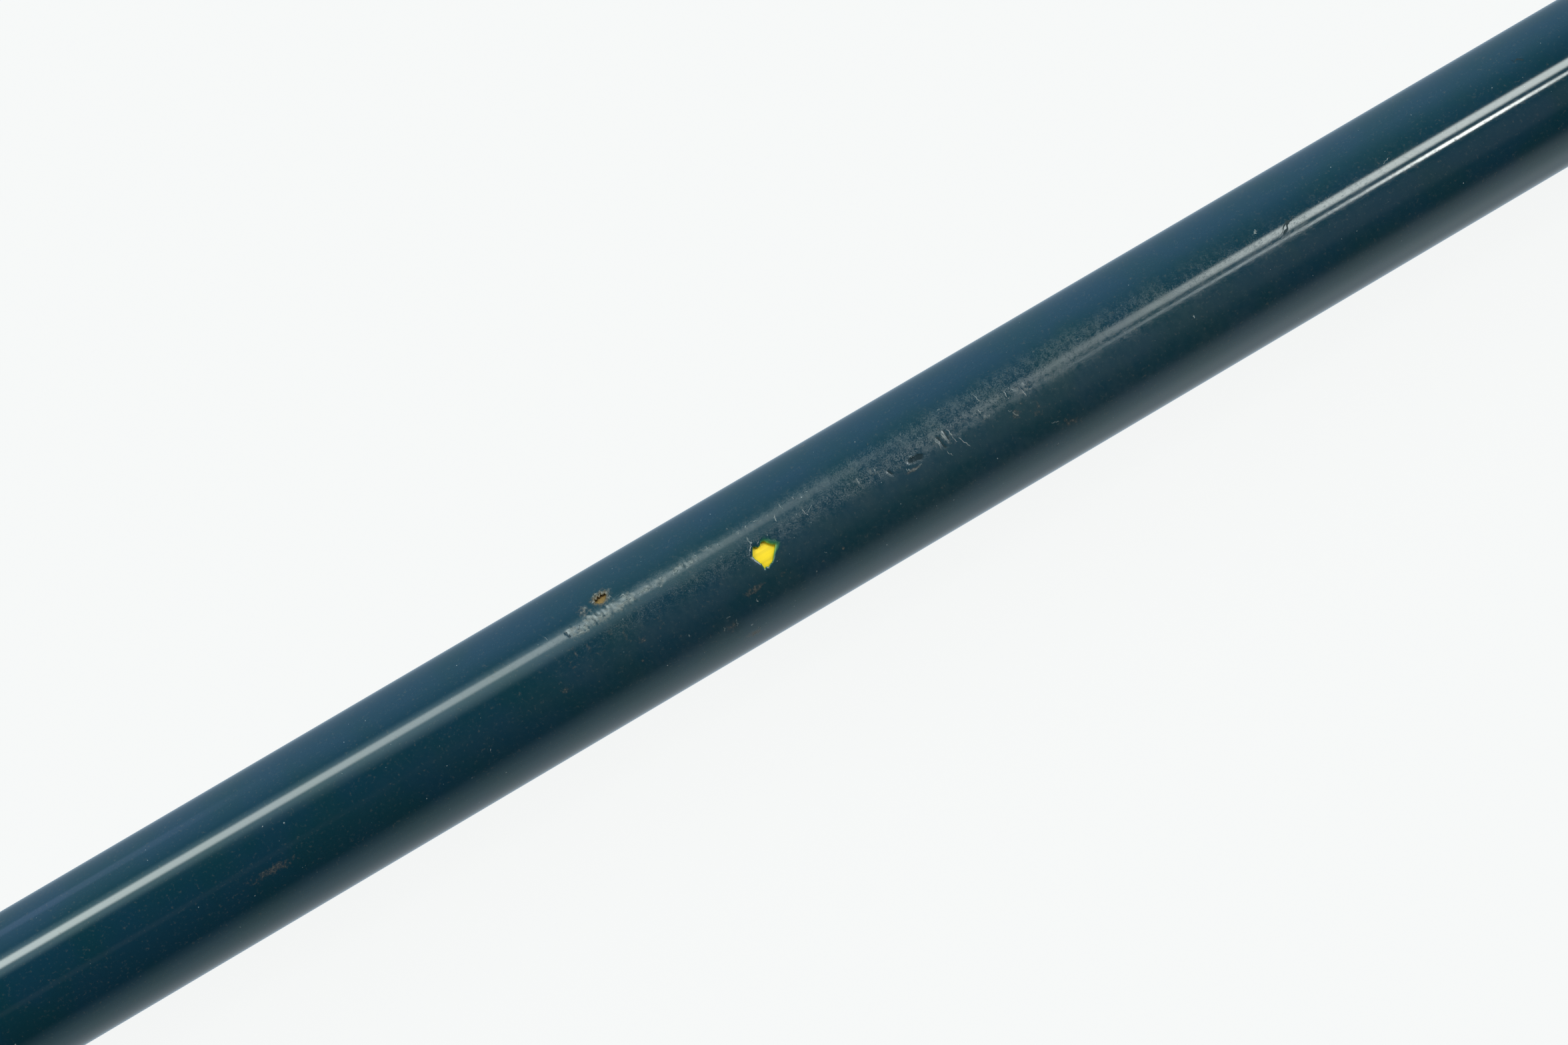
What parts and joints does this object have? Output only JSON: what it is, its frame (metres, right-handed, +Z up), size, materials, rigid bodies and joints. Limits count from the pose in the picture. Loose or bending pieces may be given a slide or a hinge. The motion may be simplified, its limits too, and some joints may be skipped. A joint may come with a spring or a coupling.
{
  "type": "alignment stick",
  "caption": "Long straight round rod with a glossy dark teal coat over a yellow core, ground to a point under a pull-off guard, with a soft cap on its butt end.",
  "frame": {"origin": "under the middle of the stick, on the surface it lies on", "axes": "+X along the stick towards the ground point, +Y across it, +Z up"},
  "size_m": [1.2254, 0.011, 0.011],
  "materials": {
    "glass_fibre": "satin resin with long fibres along the rod",
    "teal_lacquer": "gloss, scuffed to a milky matt in the middle",
    "cap_vinyl": "satin",
    "guard_vinyl": "satin"
  },
  "bodies": {
    "stick": {"core_rod": "glass_fibre", "lacquer_skin": "teal_lacquer", "butt_cap": "cap_vinyl"},
    "guard": {"point_guard": "guard_vinyl"}
  },
  "joints": [
    {"name": "point_guard_pull", "type": "slide", "parent": "stick", "child": "guard", "axis": [1, 0, 0], "range_m": [0, 0.08]}
  ]
}
